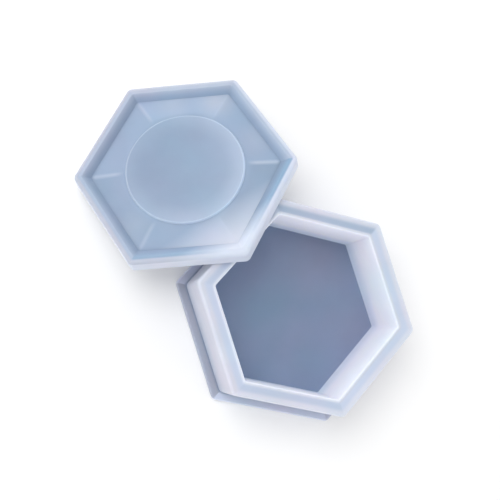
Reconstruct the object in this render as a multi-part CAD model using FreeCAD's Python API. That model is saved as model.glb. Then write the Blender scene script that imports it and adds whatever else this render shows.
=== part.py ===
import FreeCAD, Part

# Two-piece silicone mould for casting a hexagonal trinket box in resin.
# Millimetres. The origin is the centre of the box mould's underside, +Z is up,
# and +X points at one corner of the box mould. The lid mould leans on the box
# mould: its underside lies on the edge of the rim, and one corner stands on the table.
import math
import os

# --- box mould: a deep hexagonal cup with a foot flange; a "corner" size runs from centre to corner
BOX_HEIGHT = 35.0
RIM_CORNER = 55.0            # outer edge of the rim
WALL_FOOT_CORNER = 56.0      # outer wall where it meets the flange
CAVITY_MOUTH_CORNER = 46.3
CAVITY_FLOOR_CORNER = 45.5
FLOOR_THICKNESS = 3.5
FLANGE_CORNER = 61.0
FLANGE_THICKNESS = 3.5
GROOVE_WIDTH = 0.9           # fine groove round the foot of the outer wall
GROOVE_DEPTH = 0.8

# --- lid mould: a shallow hexagonal tray; its heights count down from its rim
LID_THICKNESS = 8.0
LID_RIM_CORNER = 54.0
LID_UNDERSIDE_CORNER = 54.6
RECESS_MOUTH_CORNER = 50.0
RECESS_FOOT_CORNER = 46.0
RECESS_DEPTH = 2.6           # at the outer edge of the facets, the deepest line
FACET_TOP_CORNER = 27.0      # the facets run on under the disc to this size
FACET_RISE = 1.9             # how far the facets climb to there
DISC_RADIUS = 29.0
DISC_DEPTH = 0.35            # top of the raised disc, below the rim

# --- rounding
OUTER_CORNER_ROUND = 3.0     # upright outer corners
INNER_CORNER_ROUND = 1.4     # upright corners of the cavity and the recess
RIM_OUTER_ROUND = 1.5
RIM_INNER_ROUND = 1.1
RECESS_EDGE_ROUND = 0.8
FLANGE_ROUND = 0.9
UNDERSIDE_ROUND = 0.5
DISC_ROUND = 0.3

# --- how the lid mould lies against the box mould
LID_TILT = 22.2              # degrees from level
LID_SPIN = 14.3              # degrees about the lid's own axis
LEAN_DIRECTION = 150.0       # degrees from +X, square to the side of the rim that it leans on
LID_SLIDE = -9.8             # along that side of the rim, clockwise seen from above
REST_GAP = 0.3               # clearance left between the underside and the rim's rounded edge

APOTHEM = math.cos(math.radians(30.0))   # centre to flat, for a centre-to-corner size of one


def hexagon(corner, height):
    """A hexagonal wire with one corner on +X."""
    points = []
    for side in range(7):
        angle = math.radians(60.0 * side)
        points.append(FreeCAD.Vector(corner * math.cos(angle), corner * math.sin(angle), height))
    return Part.makePolygon(points)


def is_upright(edge):
    return abs(edge.Vertexes[0].Z - edge.Vertexes[-1].Z) > 0.1


def prism(low_corner, low_z, high_corner, high_z, corner_round=0.0):
    """A tapered hexagonal block, with its upright corners rounded."""
    block = Part.makeLoft([hexagon(low_corner, low_z), hexagon(high_corner, high_z)], True, True)
    if corner_round > 0.0:
        block = block.makeFillet(corner_round, [edge for edge in block.Edges if is_upright(edge)])
    return block


def hexagonal_size(point):
    """Corner size of the level hexagon that a point lies on."""
    reaches = []
    for side in range(6):
        angle = math.radians(30.0 + 60.0 * side)
        reaches.append(point.x * math.cos(angle) + point.y * math.sin(angle))
    return max(reaches) / APOTHEM


def round_ring(shape, height, corner, radius):
    """Round the level ring of edges that follows the hexagon of one corner size at one height."""
    ring = []
    for edge in shape.Edges:
        box = edge.BoundBox
        level = abs(box.ZMin - height) < 0.01 and abs(box.ZMax - height) < 0.01
        middle = edge.valueAt(0.5 * (edge.FirstParameter + edge.LastParameter))
        if level and abs(hexagonal_size(middle) - corner) < 1.0:
            ring.append(edge)
    return shape.makeFillet(radius, ring)


def make_box_mould():
    flange = prism(FLANGE_CORNER, 0.0, FLANGE_CORNER, FLANGE_THICKNESS, OUTER_CORNER_ROUND)
    flange = round_ring(flange, FLANGE_THICKNESS, FLANGE_CORNER, FLANGE_ROUND)
    flange = round_ring(flange, 0.0, FLANGE_CORNER, UNDERSIDE_ROUND)

    wall = prism(WALL_FOOT_CORNER, FLANGE_THICKNESS, RIM_CORNER, BOX_HEIGHT, OUTER_CORNER_ROUND)
    groove_top = FLANGE_THICKNESS + GROOVE_WIDTH
    groove_corner = WALL_FOOT_CORNER - GROOVE_DEPTH
    groove = prism(FLANGE_CORNER, FLANGE_THICKNESS, FLANGE_CORNER, groove_top)
    core = prism(groove_corner, FLANGE_THICKNESS, groove_corner, groove_top, OUTER_CORNER_ROUND)
    wall = wall.cut(groove.cut(core))

    cavity = prism(CAVITY_FLOOR_CORNER, FLOOR_THICKNESS, CAVITY_MOUTH_CORNER, BOX_HEIGHT, INNER_CORNER_ROUND)
    body = flange.fuse(wall).cut(cavity).removeSplitter()
    body = round_ring(body, BOX_HEIGHT, RIM_CORNER, RIM_OUTER_ROUND)
    return round_ring(body, BOX_HEIGHT, CAVITY_MOUTH_CORNER, RIM_INNER_ROUND)


def make_lid_mould():
    """The lid mould in its own level frame, with its rim at height zero."""
    block = prism(LID_UNDERSIDE_CORNER, -LID_THICKNESS, LID_RIM_CORNER, 0.0, OUTER_CORNER_ROUND)
    recess = prism(RECESS_FOOT_CORNER, -RECESS_DEPTH, RECESS_MOUTH_CORNER, 0.0, INNER_CORNER_ROUND)
    body = block.cut(recess)
    body = round_ring(body, 0.0, LID_RIM_CORNER, RIM_OUTER_ROUND)
    body = round_ring(body, 0.0, RECESS_MOUTH_CORNER, RECESS_EDGE_ROUND)
    body = round_ring(body, -LID_THICKNESS, LID_UNDERSIDE_CORNER, UNDERSIDE_ROUND)

    facets = prism(RECESS_FOOT_CORNER, -RECESS_DEPTH, FACET_TOP_CORNER, FACET_RISE - RECESS_DEPTH)
    disc = Part.makeCylinder(DISC_RADIUS, RECESS_DEPTH - DISC_DEPTH, FreeCAD.Vector(0.0, 0.0, -RECESS_DEPTH))
    disc_edge = [edge for edge in disc.Edges if edge.BoundBox.ZMin > -DISC_DEPTH - 0.01]
    disc = disc.makeFillet(DISC_ROUND, disc_edge)
    return body.fuse(facets.fuse(disc).common(recess)).removeSplitter()


def lean(lid):
    """Tilt the lid mould, and set it down on the rim's edge and the table."""
    outward = FreeCAD.Vector(math.cos(math.radians(LEAN_DIRECTION)), math.sin(math.radians(LEAN_DIRECTION)), 0.0)
    along = FreeCAD.Vector(-outward.y, outward.x, 0.0)
    tilt = math.radians(LID_TILT)
    turn = FreeCAD.Rotation(along, LID_TILT) * FreeCAD.Rotation(FreeCAD.Vector(0.0, 0.0, 1.0), LID_SPIN)
    leaning = lid.transformed(FreeCAD.Placement(FreeCAD.Vector(), turn).toMatrix())

    # the lowest corner stands at height zero, and the underside's plane clears the rounded rim edge
    rise = -leaning.optimalBoundingBox().ZMin
    round_drop = RIM_OUTER_ROUND * (math.cos(tilt) + math.sin(tilt) - 1.0)
    along_normal = math.cos(tilt) * (BOX_HEIGHT - rise) + LID_THICKNESS + REST_GAP - round_drop
    reach = RIM_CORNER * APOTHEM + along_normal / math.sin(tilt)
    spot = outward * reach + along * LID_SLIDE + FreeCAD.Vector(0.0, 0.0, rise)
    return leaning.transformed(FreeCAD.Placement(spot, FreeCAD.Rotation()).toMatrix())


os.makedirs("parts", exist_ok=True)
nodes = {"box_mould": make_box_mould(), "lid_mould": lean(make_lid_mould())}
for name, shape in nodes.items():
    shape.exportStep(os.path.join("parts", name + ".step"))
    print(name, "solids", len(shape.Solids), "valid", shape.isValid(), "cm3", round(shape.Volume / 1000.0, 1))
print("gap between the two", round(nodes["box_mould"].distToShape(nodes["lid_mould"])[0], 2), "mm")
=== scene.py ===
import math

import bpy
import numpy as np
from mathutils import Matrix, Vector


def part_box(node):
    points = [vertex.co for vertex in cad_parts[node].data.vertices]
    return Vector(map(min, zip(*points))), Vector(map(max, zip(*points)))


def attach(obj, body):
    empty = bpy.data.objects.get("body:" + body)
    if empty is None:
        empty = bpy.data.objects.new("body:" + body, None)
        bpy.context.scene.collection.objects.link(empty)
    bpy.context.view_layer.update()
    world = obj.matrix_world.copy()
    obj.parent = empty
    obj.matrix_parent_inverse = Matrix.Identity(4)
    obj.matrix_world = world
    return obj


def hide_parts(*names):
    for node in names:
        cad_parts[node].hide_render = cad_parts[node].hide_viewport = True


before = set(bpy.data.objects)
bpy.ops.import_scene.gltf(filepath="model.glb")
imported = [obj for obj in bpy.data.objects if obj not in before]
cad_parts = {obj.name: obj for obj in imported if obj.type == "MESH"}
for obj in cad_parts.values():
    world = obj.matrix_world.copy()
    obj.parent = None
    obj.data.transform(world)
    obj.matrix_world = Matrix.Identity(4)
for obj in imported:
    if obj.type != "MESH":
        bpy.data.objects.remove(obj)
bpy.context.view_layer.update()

MM = 0.001
APOTHEM = math.cos(math.radians(30.0))   # centre to flat, for a centre-to-corner size of one

# ---------------------------------------------------------------- sizes, in millimetres, as in the design
BOX_HEIGHT = 35.0
RIM_CORNER = 55.0
WALL_FOOT_CORNER = 56.0
CAVITY_MOUTH_CORNER = 46.3
CAVITY_FLOOR_CORNER = 45.5
FLOOR_THICKNESS = 3.5
FLANGE_CORNER = 61.0
FLANGE_THICKNESS = 3.5
GROOVE_WIDTH = 0.9
GROOVE_DEPTH = 0.8

LID_THICKNESS = 8.0
LID_RIM_CORNER = 54.0
LID_UNDERSIDE_CORNER = 54.6
RECESS_MOUTH_CORNER = 50.0
RECESS_FOOT_CORNER = 46.0
RECESS_DEPTH = 2.6
FACET_TOP_CORNER = 27.0
FACET_RISE = 1.9
DISC_RADIUS = 29.0
DISC_DEPTH = 0.35
DISC_DISH = 0.25             # how far the middle of the disc sits below its edge
DISC_BEAD = 0.7              # width of the soft slope up to the disc's edge
RIDGE_HIGHLIGHT_HALF = 1.6             # half the width of the painted highlight along a ridge

OUTER_CORNER_ROUND = 3.0
INNER_CORNER_ROUND = 1.4
RIM_OUTER_ROUND = 1.5
RIM_INNER_ROUND = 1.1
RECESS_EDGE_ROUND = 0.8
FLANGE_ROUND = 0.9
UNDERSIDE_ROUND = 0.5
FOOT_ROUND = 0.35            # the cavity's and the recess's inside bottom edge

LID_TILT = 22.2
LID_SPIN = 14.3
LEAN_DIRECTION = 150.0

# ---------------------------------------------------------------- stage, in metres, degrees and watts
HORIZON_LIGHT = 1.8          # strength of the white dome low down
ZENITH_LIGHT = 0.36          # and overhead
KEY_HEADING = 150.0
KEY_HEIGHT = 60.0
KEY_DISTANCE = 1.0
KEY_AIM = (-0.03, 0.02, 0.0)
KEY_SIZE = 0.7
KEY_POWER = 4.0
FLOOR_HALF = 3.0
CAMERA_SPOT = (-0.1024, -0.0305, 0.3684)
CAMERA_AIM = (-0.0297, 0.0229, 0.0150)
CAMERA_UP_HEADING = 101.9
CAMERA_LENS_MM = 52.75
CAMERA_SENSOR_MM = 36.0

# ---------------------------------------------------------------- how finely the surfaces are divided
SIDE_STEPS = 40
CORNER_STEPS = 10
ROUND_STEPS = 7
SHARP_ANGLE = 35.0           # degrees; a fold sharper than this keeps a crisp edge


def srgb(red, green, blue):
    """A colour given in screen values from 0 to 255, as linear light."""
    values = []
    for value in (red, green, blue):
        part = value / 255.0
        values.append(part / 12.92 if part <= 0.04045 else ((part + 0.055) / 1.055) ** 2.4)
    return np.array(values)


def lit(red, green, blue, light):
    """The surface tone that looks like a screen colour where this much light falls."""
    return srgb(red, green, blue) / light


# ---------------------------------------------------------------- tones of the silicone
# Thick silicone is milky white, thin silicone is slate blue. The last number stands for the light on that
# face. It wasn't measured: it was set by comparing renders under the stage light above.
# The rim's rounded outer edge is partly painted highlight.
BOX_OUTER_EDGE = lit(222, 226, 239, 1.15)
BOX_RIM = lit(204, 214, 233, 1.10)
BOX_RIM_BLUE = lit(176, 193, 215, 1.18)
# The rim's rounded inner edge is partly painted highlight.
BOX_INNER_EDGE = lit(225, 231, 244, 1.13)
BOX_WALL_TOP = lit(228, 231, 241, 0.86)
BOX_WALL_MIDDLE = lit(225, 227, 236, 0.82)
BOX_WALL_FOOT = lit(196, 205, 218, 0.78)
OUTSIDE_TOP = lit(216, 221, 235, 1.30)
OUTSIDE_MIDDLE = lit(205, 209, 224, 1.22)
OUTSIDE_FOOT = lit(190, 198, 216, 1.22)
# Painted shade: the groove at the wall's foot, and the flange and wall next to it, are darkened as if in
# shadow.
GROOVE_SHADE = lit(140, 154, 180, 0.92)
FLANGE_LAVENDER = lit(182, 188, 205, 1.10)
FLOOR_SLATE = lit(123, 137, 162, 0.88)
FLOOR_TEAL = lit(116, 137, 160, 0.86)
FLOOR_PLUM = lit(126, 131, 151, 0.88)
UNDER_MILK = lit(205, 214, 228, 1.00)

LID_EDGE = lit(205, 212, 228, 1.20)
LID_RIM = lit(193, 202, 220, 1.20)
# Painted light: the teal on the lid's rim and recess wall, strongest on the sides where that wall is lit.
LID_TEAL = lit(162, 184, 209, 1.20)
LID_SIDE = lit(212, 218, 232, 1.10)
# Partly painted shade: the recess wall darkens towards its foot, most on the shaded sides.
LID_FOOT = lit(149, 169, 197, 1.08)
LID_FACET = lit(160, 181, 208, 1.24)
# Painted highlight along the ridges between the facets.
LID_RIDGE_HIGHLIGHT = lit(190, 204, 224, 1.22)
# Painted highlight: the pale line round the disc's edge.
LID_RING_HIGHLIGHT = lit(184, 202, 224, 1.14)
LID_DISC = lit(151, 173, 201, 1.34)
# Painted light: a lit copy of the disc's tone, and a lighter tone for its edge.
LID_DISC_PAINTED_LIGHT = lit(166, 187, 214, 1.34)
LID_DISC_EDGE = lit(186, 203, 225, 1.22)
# Painted light: the glow of the box mould's white rim showing through the lid's corner.
LID_SHOW_THROUGH_GLOW = lit(222, 230, 245, 1.24)
CLOUD_PINK = lit(200, 205, 219, 1.22)

# How light each side is next to its tone above: from the side between the first two corners, anticlockwise.
# These were set by comparing renders too, so they hold painted light and shade as well as the silicone's own
# tone.
BOX_EDGE_SIDES = (0.98, 0.94, 0.96, 0.93, 0.97, 1.00)
BOX_INNER_SIDES = (0.86, 0.88, 0.98, 1.00, 0.90, 0.84)
BOX_WALL_SIDES = (1.00, 1.10, 1.00, 1.00, 1.00, 1.00)
BOX_BLUE_SIDES = (0.05, 1.00, 0.30, 0.15, 0.40, 0.05)   # how far the rim turns from milk to blue, partly as painted light and shade
FLANGE_SIDES = (1.00, 1.00, 1.30, 0.88, 1.34, 1.10)
LID_EDGE_SIDES = (1.05, 0.92, 0.84, 0.84, 0.92, 1.12)
LID_FOOT_SIDES = (0.88, 0.98, 0.84, 0.84, 0.90, 0.78)
LID_FACET_SIDES = (1.02, 1.10, 0.99, 0.96, 1.02, 0.93)
LID_TEAL_SIDES = (0.40, 0.15, 0.35, 0.60, 1.20, 1.40)   # how far the rim turns from milk to teal: painted light on the sides where the recess wall is lit
RIDGE_HIGHLIGHT_STRENGTHS = (0.90, 0.35, 0.50, 0.65, 0.50, 0.12)   # how strong the painted highlight on each ridge between two facets is
DISC_PAINTED_LIGHT_HEADING = 335.0   # degrees in the lid's own frame: painted light makes the disc lightest on this side

# Painted light: the lid whitens towards its corner over the box mould, as the box's white rim glows through
# it. Distances out towards that corner.
GLOW_CORNER = 300.0         # degrees in the lid's own frame
FACET_GLOW_SPAN = (27.0, 44.0)
RIM_GLOW_SPAN = (36.0, 47.0)

# Cloudier patches: heading and distance out, radius, strength and tone. The lid's are in its own frame.
LID_CLOUDS = (
    (66.0, 40.0, 14.0, 0.55, CLOUD_PINK),
    (98.0, 37.0, 14.0, 0.30, CLOUD_PINK),
    (20.0, 37.0, 12.0, 0.20, CLOUD_PINK),
    (228.0, 38.0, 12.0, 0.20, CLOUD_PINK),
)
FLOOR_CLOUDS = (
    (75.0, 34.0, 34.0, 0.60, FLOOR_PLUM),
    (0.0, 34.0, 20.0, 0.40, FLOOR_PLUM),
    (190.0, 12.0, 24.0, 0.80, FLOOR_TEAL),
    (300.0, 28.0, 18.0, 0.50, FLOOR_TEAL),
)


def smooth(low, high, value):
    """0 at low, 1 at high, with a soft start and end."""
    part = np.clip((value - low) / (high - low), 0.0, 1.0)
    return part * part * (3.0 - 2.0 * part)


def mix(first, second, part):
    return first + (second - first) * part


def sided(factors):
    """One factor for each point of a ring, from one per side, blended across each corner."""
    values = []
    for side in range(6):
        for step in range(CORNER_STEPS + 1):
            part = smooth(0.2, 0.8, step / CORNER_STEPS)
            values.append(mix(factors[side - 1], factors[side], part))
        values.extend([factors[side]] * (SIDE_STEPS - 1))
    return np.array(values)[:, None]


def ridge_highlight_weight(points):
    """How much painted highlight each point takes for lying near a ridge between two facets."""
    heading = np.degrees(np.arctan2(points[:, 1], points[:, 0]))
    corner = np.round(heading / 60.0)
    off = np.linalg.norm(points, axis=1) * np.abs(np.sin(np.radians(heading - 60.0 * corner)))
    strength = np.array(RIDGE_HIGHLIGHT_STRENGTHS)[corner.astype(int) % 6]
    return (strength * (1.0 - smooth(0.0, RIDGE_HIGHLIGHT_HALF, off)))[:, None]


def clouded(points, tones, clouds):
    """Mixes cloudier patches into the tones of a ring."""
    for heading, reach, radius, strength, tone in clouds:
        angle = math.radians(heading)
        centre = np.array([math.cos(angle), math.sin(angle)]) * reach
        distance = np.linalg.norm(points - centre, axis=1)[:, None]
        tones = mix(tones, tone, strength * (1.0 - smooth(0.0, radius, distance)))
    return tones


def with_show_through_glow(points, tones, span):
    """Mixes the painted glow of the box rim, showing through the lid's corner, into the tones of a ring of
    the lid.
    """
    angle = math.radians(GLOW_CORNER)
    out = points[:, 0] * math.cos(angle) + points[:, 1] * math.sin(angle)
    part = np.clip((out - span[0]) / (span[1] - span[0]), 0.0, 1.0)[:, None]
    return mix(tones, np.maximum(tones, LID_SHOW_THROUGH_GLOW), part)


# ---------------------------------------------------------------- rings and profiles
def hexagon_ring(corner, rounding):
    """Points round a hexagon with rounded corners, starting at the corner on +X."""
    points = []
    centre_out = corner - rounding / APOTHEM
    for side in range(6):
        heading = math.radians(60.0 * side)
        centre = np.array([math.cos(heading), math.sin(heading)]) * centre_out
        for step in range(CORNER_STEPS + 1):
            angle = heading + math.radians(60.0 * step / CORNER_STEPS - 30.0)
            points.append(centre + rounding * np.array([math.cos(angle), math.sin(angle)]))
        heading_next = math.radians(60.0 * (side + 1))
        next_centre = np.array([math.cos(heading_next), math.sin(heading_next)]) * centre_out
        normal = math.radians(60.0 * side + 30.0)
        offset = rounding * np.array([math.cos(normal), math.sin(normal)])
        for step in range(1, SIDE_STEPS):
            points.append(centre + (next_centre - centre) * step / SIDE_STEPS + offset)
    return np.array(points)


def circle_ring(radius):
    """The same number of points on a circle, gathered at the six corner directions as on the hexagon."""
    corner_half = 1.2
    angles = []
    for side in range(6):
        for step in range(CORNER_STEPS + 1):
            angles.append(60.0 * side + corner_half * (2.0 * step / CORNER_STEPS - 1.0))
        for step in range(1, SIDE_STEPS):
            angles.append(60.0 * side + corner_half + (60.0 - 2.0 * corner_half) * step / SIDE_STEPS)
    turn = np.radians(np.array(angles))
    return np.stack([radius * np.cos(turn), radius * np.sin(turn)], 1)


def arc(flat, height, radius, start, end, steps=ROUND_STEPS):
    """Profile points round a fillet: centre distance out and height, angles in degrees."""
    points = []
    for step in range(steps + 1):
        angle = math.radians(start + (end - start) * step / steps)
        points.append((flat + radius * math.cos(angle), height + radius * math.sin(angle)))
    return points


class Shell:
    """Collects rings of points and tones, and stitches each ring to the one before it."""

    def __init__(self):
        self.rings = []
        self.tones = []

    def add(self, flat_points, heights, tone):
        count = len(flat_points)
        heights = np.broadcast_to(np.asarray(heights, float), (count,))
        self.rings.append(np.column_stack([flat_points, heights]))
        self.tones.append(np.broadcast_to(np.asarray(tone, float), (count, 3)).copy())

    def build(self, name, material):
        """Makes the mesh object, closed at both ends."""
        points = np.concatenate(self.rings)
        tones = np.concatenate(self.tones)
        ends = [[0.0, 0.0, ring[:, 2].mean()] for ring in (self.rings[0], self.rings[-1])]
        points = np.vstack([points, ends])
        tones = np.vstack([tones, self.tones[0][:1], self.tones[-1][:1]])
        count = len(self.rings[0])
        faces = []
        for ring in range(len(self.rings) - 1):
            low = ring * count
            for step in range(count):
                after = (step + 1) % count
                faces.append((low + step, low + after, low + count + after, low + count + step))
        first, last = len(points) - 2, len(points) - 1
        top = (len(self.rings) - 1) * count
        for step in range(count):
            after = (step + 1) % count
            faces.append((first, after, step))
            faces.append((last, top + step, top + after))
        mesh = bpy.data.meshes.new(name)
        mesh.from_pydata((points * MM).tolist(), [], faces)
        mesh.validate()
        tone_layer = mesh.color_attributes.new("tone", "FLOAT_COLOR", "POINT")
        values = np.column_stack([tones, np.ones(len(tones))])
        tone_layer.data.foreach_set("color", values.ravel())
        mesh.shade_smooth()
        mesh.set_sharp_from_angle(angle=math.radians(SHARP_ANGLE))
        mesh.materials.append(material)
        piece = bpy.data.objects.new(name, mesh)
        bpy.context.scene.collection.objects.link(piece)
        return piece


# ---------------------------------------------------------------- materials
def silicone_material():
    """Milky silicone: satin skin, soft light inside, cloudy variation and a fine matt grain."""
    material = bpy.data.materials.new("silicone")
    material.use_nodes = True
    nodes = material.node_tree.nodes
    links = material.node_tree.links
    shader = nodes["Principled BSDF"]
    shader.inputs["IOR"].default_value = 1.41
    shader.inputs["Subsurface Weight"].default_value = 0.45
    shader.inputs["Subsurface Radius"].default_value = (0.9, 1.0, 1.2)
    shader.inputs["Subsurface Scale"].default_value = 0.003
    place = nodes.new("ShaderNodeTexCoord")

    def noise(scale, detail):
        texture = nodes.new("ShaderNodeTexNoise")
        texture.inputs["Scale"].default_value = scale
        texture.inputs["Detail"].default_value = detail
        links.new(place.outputs["Object"], texture.inputs["Vector"])
        return texture.outputs["Fac"]

    def spread(value, low, high):
        """Stretches a noise's usual values to run from low to high."""
        node = nodes.new("ShaderNodeMapRange")
        node.inputs["From Min"].default_value = 0.3
        node.inputs["From Max"].default_value = 0.7
        node.inputs["To Min"].default_value = low
        node.inputs["To Max"].default_value = high
        links.new(value, node.inputs["Value"])
        return node.outputs["Result"]

    # tone, times a milky cloudiness, times a slow drift from teal to pink
    tone = nodes.new("ShaderNodeVertexColor")
    tone.layer_name = "tone"
    milky = nodes.new("ShaderNodeVectorMath")
    milky.operation = "SCALE"
    links.new(tone.outputs["Color"], milky.inputs[0])
    links.new(spread(noise(55.0, 5.0), 0.965, 1.03), milky.inputs["Scale"])
    drift = nodes.new("ShaderNodeMix")
    drift.data_type = "RGBA"
    drift.inputs["A"].default_value = (0.965, 1.010, 1.005, 1.0)
    drift.inputs["B"].default_value = (1.040, 0.990, 1.000, 1.0)
    links.new(spread(noise(38.0, 2.0), 0.0, 1.0), drift.inputs["Factor"])
    tinted = nodes.new("ShaderNodeVectorMath")
    tinted.operation = "MULTIPLY"
    links.new(milky.outputs["Vector"], tinted.inputs[0])
    links.new(drift.outputs["Result"], tinted.inputs[1])
    links.new(tinted.outputs["Vector"], shader.inputs["Base Color"])

    # satin skin: uneven gloss over a fine matt grain and a very low swell
    links.new(spread(noise(120.0, 3.0), 0.48, 0.62), shader.inputs["Roughness"])
    grain = nodes.new("ShaderNodeBump")
    grain.inputs["Strength"].default_value = 0.08
    grain.inputs["Distance"].default_value = 0.0002
    links.new(noise(1400.0, 2.0), grain.inputs["Height"])
    swell = nodes.new("ShaderNodeBump")
    swell.inputs["Strength"].default_value = 0.15
    swell.inputs["Distance"].default_value = 0.0006
    links.new(noise(90.0, 1.0), swell.inputs["Height"])
    links.new(grain.outputs["Normal"], swell.inputs["Normal"])
    links.new(swell.outputs["Normal"], shader.inputs["Normal"])
    return material


def floor_material():
    material = bpy.data.materials.new("pale_floor")
    material.use_nodes = True
    shader = material.node_tree.nodes["Principled BSDF"]
    shader.inputs["Base Color"].default_value = (0.97, 0.97, 0.97, 1.0)
    shader.inputs["Roughness"].default_value = 0.9
    shader.inputs["Specular IOR Level"].default_value = 0.1
    return material


# ---------------------------------------------------------------- the box mould
def make_box_mould(material):
    shell = Shell()
    flange_flat = FLANGE_CORNER * APOTHEM
    foot_flat = WALL_FOOT_CORNER * APOTHEM
    rim_flat = RIM_CORNER * APOTHEM
    mouth_flat = CAVITY_MOUTH_CORNER * APOTHEM
    floor_flat = CAVITY_FLOOR_CORNER * APOTHEM
    flange_tone = FLANGE_LAVENDER * sided(FLANGE_SIDES)
    rim_tone = mix(BOX_RIM, BOX_RIM_BLUE, sided(BOX_BLUE_SIDES))
    outer_edge_tone = BOX_OUTER_EDGE * sided(BOX_EDGE_SIDES)
    inner_edge_tone = BOX_INNER_EDGE * sided(BOX_INNER_SIDES)
    wall_top_tone = BOX_WALL_TOP * sided(BOX_WALL_SIDES)

    def outer(flat, height, tone, full_round_flat):
        """A ring outside the wall: its corner rounding shrinks as the ring steps inwards."""
        rounding = max(0.2, OUTER_CORNER_ROUND - (full_round_flat - flat))
        shell.add(hexagon_ring(flat / APOTHEM, rounding), height, tone)

    # underside, from the middle outwards, and round the flange
    for part in (0.12, 0.35, 0.6, 0.85):
        shell.add(hexagon_ring(FLANGE_CORNER * part, OUTER_CORNER_ROUND * part), 0.0, UNDER_MILK)
    for flat, height in arc(flange_flat - UNDERSIDE_ROUND, UNDERSIDE_ROUND, UNDERSIDE_ROUND, -90.0, 0.0, 4):
        outer(flat, height, flange_tone, flange_flat)
    shoulder = FLANGE_THICKNESS - FLANGE_ROUND
    for flat, height in arc(flange_flat - FLANGE_ROUND, shoulder, FLANGE_ROUND, 0.0, 90.0):
        outer(flat, height, flange_tone, flange_flat)
    outer(foot_flat + 0.9, FLANGE_THICKNESS, flange_tone, flange_flat)
    # painted shade darkens the flange next to the wall
    outer(foot_flat + 0.3, FLANGE_THICKNESS, mix(flange_tone, GROOVE_SHADE, 0.6), foot_flat)

    # groove in painted shade, then up the outer wall, which turns lighter towards the rim
    groove_flat = foot_flat - GROOVE_DEPTH * APOTHEM
    groove_top = FLANGE_THICKNESS + GROOVE_WIDTH
    outer(groove_flat, FLANGE_THICKNESS, GROOVE_SHADE, foot_flat)
    outer(groove_flat, groove_top, GROOVE_SHADE, foot_flat)
    outer(foot_flat - 0.10, groove_top, GROOVE_SHADE, foot_flat)
    wall_top = BOX_HEIGHT - RIM_OUTER_ROUND
    for part in (0.0, 0.02, 0.06, 0.15, 0.3, 0.45, 0.6, 0.75, 0.9):
        height = mix(groove_top, wall_top, part)
        flat = mix(foot_flat, rim_flat, (height - FLANGE_THICKNESS) / (BOX_HEIGHT - FLANGE_THICKNESS))
        tone = mix(OUTSIDE_FOOT, OUTSIDE_MIDDLE, smooth(0.0, 0.5, part))
        tone = mix(tone, OUTSIDE_TOP, smooth(0.5, 1.0, part))
        # painted shade at the wall's foot, next to the groove
        tone = mix(mix(GROOVE_SHADE, OUTSIDE_FOOT, 0.5), tone, smooth(-0.02, 0.04, part))
        outer(flat, height, tone, flat)

    # rim: a bright outer edge, a bluer band along the middle and a bright inner edge; the bright edges are
    # partly painted highlight
    for flat, height in arc(rim_flat - RIM_OUTER_ROUND, wall_top, RIM_OUTER_ROUND, 0.0, 90.0):
        outer(flat, height, outer_edge_tone, rim_flat)
    rim_start = rim_flat - RIM_OUTER_ROUND
    rim_end = mouth_flat + RIM_INNER_ROUND
    for part in (0.1, 0.22, 0.35, 0.5, 0.65, 0.78, 0.9):
        flat = mix(rim_start, rim_end, part)
        rounding = mix(OUTER_CORNER_ROUND - RIM_OUTER_ROUND, INNER_CORNER_ROUND + RIM_INNER_ROUND, part)
        tone = mix(outer_edge_tone, rim_tone, smooth(0.1, 0.5, part))
        tone = mix(tone, inner_edge_tone, smooth(0.82, 1.05, part))
        shell.add(hexagon_ring(flat / APOTHEM, rounding), BOX_HEIGHT, tone)
    inner_arc = arc(rim_end, BOX_HEIGHT - RIM_INNER_ROUND, RIM_INNER_ROUND, 90.0, 180.0)
    for step, (flat, height) in enumerate(inner_arc):
        rounding = INNER_CORNER_ROUND + flat - mouth_flat
        tone = mix(inner_edge_tone, wall_top_tone, smooth(0.2, 0.9, step / ROUND_STEPS))
        shell.add(hexagon_ring(flat / APOTHEM, rounding), height, tone)

    # down the cavity wall, and across the floor
    for part in (0.04, 0.1, 0.2, 0.35, 0.5, 0.65, 0.8, 0.9, 0.96):
        height = mix(BOX_HEIGHT - RIM_INNER_ROUND, FLOOR_THICKNESS, part)
        flat = mix(mouth_flat, floor_flat, part)
        tone = mix(wall_top_tone, BOX_WALL_MIDDLE * sided(BOX_WALL_SIDES), smooth(0.0, 0.6, part))
        tone = mix(tone, BOX_WALL_FOOT, smooth(0.55, 1.0, part))
        shell.add(hexagon_ring(flat / APOTHEM, INNER_CORNER_ROUND), height, tone)
    foot_steps = 4
    foot_arc = arc(floor_flat - FOOT_ROUND, FLOOR_THICKNESS + FOOT_ROUND, FOOT_ROUND, 0.0, -90.0, foot_steps)
    for step, (flat, height) in enumerate(foot_arc):
        tone = mix(BOX_WALL_FOOT, FLOOR_SLATE, step / foot_steps)
        shell.add(hexagon_ring(flat / APOTHEM, INNER_CORNER_ROUND), height, tone)
    for part in (0.985, 0.95, 0.9, 0.8, 0.7, 0.6, 0.5, 0.4, 0.3, 0.2, 0.1):
        ring = hexagon_ring(CAVITY_FLOOR_CORNER * part, INNER_CORNER_ROUND * part)
        shell.add(ring, FLOOR_THICKNESS, clouded(ring, FLOOR_SLATE, FLOOR_CLOUDS))
    return shell.build("box_mould_silicone", material)


# ---------------------------------------------------------------- the lid mould
def facet_height(points):
    """Height of the six facets at flat points, in the lid's own frame."""
    reaches = []
    for side in range(6):
        angle = math.radians(30.0 + 60.0 * side)
        reaches.append(points[:, 0] * math.cos(angle) + points[:, 1] * math.sin(angle))
    reach = np.max(np.stack(reaches), axis=0)
    slope = FACET_RISE / ((RECESS_FOOT_CORNER - FACET_TOP_CORNER) * APOTHEM)
    return -RECESS_DEPTH + slope * (RECESS_FOOT_CORNER * APOTHEM - reach)


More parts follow.
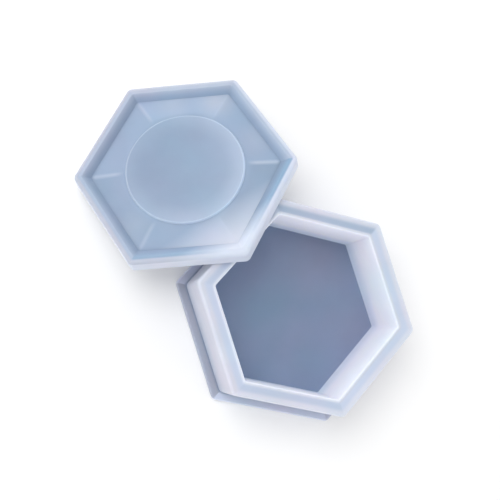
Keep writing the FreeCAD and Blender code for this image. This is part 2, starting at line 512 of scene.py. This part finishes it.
def disc_tone(part, ring):
    """Painted light and shade: the disc is bluest on one side, and lightens across it and towards its edge.
    """
    heading = np.arctan2(ring[:, 1], ring[:, 0])[:, None]
    painted_light_side = np.cos(heading - math.radians(DISC_PAINTED_LIGHT_HEADING))
    tone = mix(LID_DISC, LID_DISC_PAINTED_LIGHT, 0.5 + 0.5 * part * painted_light_side)
    return mix(tone, LID_DISC_EDGE, smooth(0.62, 1.0, part) * (0.50 + 0.30 * painted_light_side))


def ring_highlight_tone(ring):
    """The painted highlight round the disc's edge, strongest on the side where the disc takes most painted
    light.
    """
    heading = np.arctan2(ring[:, 1], ring[:, 0])[:, None]
    return LID_RING_HIGHLIGHT * (1.00 + 0.16 * np.cos(heading - math.radians(DISC_PAINTED_LIGHT_HEADING)))


def make_lid_mould(material):
    shell = Shell()
    under_flat = LID_UNDERSIDE_CORNER * APOTHEM
    rim_flat = LID_RIM_CORNER * APOTHEM
    mouth_flat = RECESS_MOUTH_CORNER * APOTHEM
    foot_flat = RECESS_FOOT_CORNER * APOTHEM
    edge_tone = LID_EDGE * sided(LID_EDGE_SIDES)
    rim_tone = mix(LID_RIM, LID_TEAL, sided(LID_TEAL_SIDES))
    foot_tone = LID_FOOT * sided(LID_FOOT_SIDES)
    facet_tone = LID_FACET * sided(LID_FACET_SIDES)

    # rim rings take the painted glow of the box rim towards the corner over the box
    def rim(ring, height, tone):
        shell.add(ring, height, with_show_through_glow(ring, tone, RIM_GLOW_SPAN))

    # underside and the low side wall
    for part in (0.12, 0.35, 0.6, 0.85):
        ring = hexagon_ring(LID_UNDERSIDE_CORNER * part, OUTER_CORNER_ROUND * part)
        shell.add(ring, -LID_THICKNESS, UNDER_MILK)
    bottom = UNDERSIDE_ROUND - LID_THICKNESS
    for flat, height in arc(under_flat - UNDERSIDE_ROUND, bottom, UNDERSIDE_ROUND, -90.0, 0.0, 4):
        rounding = OUTER_CORNER_ROUND - (under_flat - flat)
        shell.add(hexagon_ring(flat / APOTHEM, rounding), height, LID_SIDE)
    for part in (0.15, 0.35, 0.5, 0.65, 0.8):
        flat = mix(under_flat, rim_flat, part)
        shell.add(hexagon_ring(flat / APOTHEM, OUTER_CORNER_ROUND), -LID_THICKNESS * (1.0 - part), LID_SIDE)

    # rim: a bright outer edge that turns bluer towards the recess, and teal with painted light on the lit
    # sides
    for flat, height in arc(rim_flat - RIM_OUTER_ROUND, -RIM_OUTER_ROUND, RIM_OUTER_ROUND, 0.0, 90.0):
        rounding = OUTER_CORNER_ROUND - (rim_flat - flat)
        rim(hexagon_ring(flat / APOTHEM, rounding), height, edge_tone)
    slope_angle = math.atan2(RECESS_DEPTH, mouth_flat - foot_flat)
    rim_start = rim_flat - RIM_OUTER_ROUND
    rim_end = mouth_flat + RECESS_EDGE_ROUND * math.tan(slope_angle / 2.0)
    for part in (0.15, 0.3, 0.5, 0.7, 0.85):
        flat = mix(rim_start, rim_end, part)
        rounding = mix(OUTER_CORNER_ROUND - RIM_OUTER_ROUND, INNER_CORNER_ROUND, part)
        rim(hexagon_ring(flat / APOTHEM, rounding), 0.0, mix(edge_tone, rim_tone, smooth(0.0, 0.5, part)))

    # the recess's sloping wall, darker towards its foot, partly as painted shade
    edge_arc = arc(rim_end, -RECESS_EDGE_ROUND, RECESS_EDGE_ROUND, 90.0, 90.0 + math.degrees(slope_angle))
    for step, (flat, height) in enumerate(edge_arc):
        tone = mix(rim_tone, foot_tone, 0.25 * step / ROUND_STEPS)
        rim(hexagon_ring(flat / APOTHEM, INNER_CORNER_ROUND), height, tone)
    for part in (0.2, 0.35, 0.5, 0.65, 0.8, 0.9, 1.0):
        flat = mix(mouth_flat, foot_flat, part)
        tone = mix(rim_tone, foot_tone, smooth(-0.3, 0.85, part))
        rim(hexagon_ring(flat / APOTHEM, INNER_CORNER_ROUND), -RECESS_DEPTH * part, tone)

    # the facets, from the foot of the recess wall in to the disc, each side's tone holding painted light and
    # shade, with a painted highlight on the ridge between each two
    foot_ring = hexagon_ring(RECESS_FOOT_CORNER, INNER_CORNER_ROUND)
    disc_ring = circle_ring(DISC_RADIUS)
    for part in (0.02, 0.05, 0.09, 0.14, 0.25, 0.4, 0.55, 0.7, 0.82, 0.9, 0.96, 1.0):
        ring = mix(foot_ring, disc_ring, part)
        tone = mix(foot_tone, facet_tone, smooth(-0.04, 0.13, part))
        tone = clouded(ring, mix(tone, LID_FACET, smooth(0.75, 1.0, part)), LID_CLOUDS)
        ridge_highlight = ridge_highlight_weight(ring) * smooth(0.0, 0.12, part) * (1.0 - smooth(0.72, 0.96, part))
        tone = mix(tone, LID_RIDGE_HIGHLIGHT, ridge_highlight)
        shell.add(ring, facet_height(ring), with_show_through_glow(ring, tone, FACET_GLOW_SPAN))

    # the disc's edge, softened into a bead with a painted highlight, and its dished top
    foot = facet_height(disc_ring)
    for part in (0.25, 0.5, 0.75, 1.0):
        ring = circle_ring(DISC_RADIUS - DISC_BEAD * part)
        shell.add(ring, mix(foot, -DISC_DEPTH, smooth(0.0, 1.0, part)), ring_highlight_tone(ring))
    for part in (0.96, 0.945, 0.92, 0.88, 0.82, 0.75, 0.67, 0.58, 0.48, 0.36, 0.24, 0.12):
        ring = circle_ring(DISC_RADIUS * part)
        tone = with_show_through_glow(ring, disc_tone(part, ring), FACET_GLOW_SPAN)
        shell.add(ring, -DISC_DEPTH - DISC_DISH * (1.0 - part * part), tone)
    return shell.build("lid_mould_silicone", material)


def lean(piece):
    """Tilts the lid mould and sets it in the place that its CAD node holds."""
    heading = math.radians(LEAN_DIRECTION)
    along = Vector((-math.sin(heading), math.cos(heading), 0.0))
    turn = Matrix.Rotation(math.radians(LID_TILT), 4, along) @ Matrix.Rotation(math.radians(LID_SPIN), 4, "Z")
    piece.data.transform(turn)
    low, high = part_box("lid_mould")
    corners = np.array([vertex.co for vertex in piece.data.vertices])
    middle = (corners.min(0) + corners.max(0)) / 2.0
    target = (np.array(low) + np.array(high)) / 2.0
    piece.data.transform(Matrix.Translation(Vector(target - middle)))


# ---------------------------------------------------------------- stage
def make_floor():
    mesh = bpy.data.meshes.new("floor")
    half = FLOOR_HALF
    corners = [(-half, -half, 0.0), (half, -half, 0.0), (half, half, 0.0), (-half, half, 0.0)]
    mesh.from_pydata(corners, [], [(0, 1, 2, 3)])
    mesh.materials.append(floor_material())
    floor = bpy.data.objects.new("floor", mesh)
    bpy.context.scene.collection.objects.link(floor)


def area_light(name, spot, aim, size, energy):
    data = bpy.data.lights.new(name, "AREA")
    data.shape = "DISK"
    data.size = size
    data.energy = energy
    light = bpy.data.objects.new(name, data)
    light.location = spot
    light.rotation_euler = (Vector(aim) - Vector(spot)).to_track_quat("-Z", "Y").to_euler()
    bpy.context.scene.collection.objects.link(light)


def make_lights():
    """A white dome, brighter low down than overhead, and one large soft light on the upper left."""
    world = bpy.data.worlds.new("studio")
    world.use_nodes = True
    nodes = world.node_tree.nodes
    links = world.node_tree.links
    background = nodes["Background"]
    background.inputs["Color"].default_value = (1.0, 1.0, 1.0, 1.0)
    direction = nodes.new("ShaderNodeTexCoord")
    split = nodes.new("ShaderNodeSeparateXYZ")
    links.new(direction.outputs["Generated"], split.inputs["Vector"])
    fade = nodes.new("ShaderNodeMapRange")
    fade.inputs["To Min"].default_value = HORIZON_LIGHT
    fade.inputs["To Max"].default_value = ZENITH_LIGHT
    links.new(split.outputs["Z"], fade.inputs["Value"])
    links.new(fade.outputs["Result"], background.inputs["Strength"])
    bpy.context.scene.world = world

    heading = math.radians(KEY_HEADING)
    height = math.radians(KEY_HEIGHT)
    across = Vector((math.cos(heading), math.sin(heading), 0.0))
    toward = across * math.cos(height) + Vector((0.0, 0.0, math.sin(height)))
    aim = Vector(KEY_AIM)
    area_light("key", aim + toward * KEY_DISTANCE, aim, KEY_SIZE, KEY_POWER)


def make_camera():
    spot = Vector(CAMERA_SPOT)
    aim = Vector(CAMERA_AIM)
    up_heading = math.radians(CAMERA_UP_HEADING)
    forward = (aim - spot).normalized()
    up = Vector((math.cos(up_heading), math.sin(up_heading), 0.0))
    up = (up - forward * up.dot(forward)).normalized()
    right = forward.cross(up)
    data = bpy.data.cameras.new("camera")
    data.sensor_width = CAMERA_SENSOR_MM
    data.lens = CAMERA_LENS_MM
    camera = bpy.data.objects.new("camera", data)
    turn = Matrix((right, up, -forward)).transposed().to_4x4()
    camera.matrix_world = Matrix.Translation(spot) @ turn
    bpy.context.scene.collection.objects.link(camera)
    bpy.context.scene.camera = camera


make_camera()
make_lights()
make_floor()
bpy.context.scene.view_settings.view_transform = "Standard"

silicone = silicone_material()
box_piece = make_box_mould(silicone)
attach(box_piece, "box")
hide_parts("box_mould")

lid_piece = make_lid_mould(silicone)
lean(lid_piece)
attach(lid_piece, "lid")
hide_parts("lid_mould")
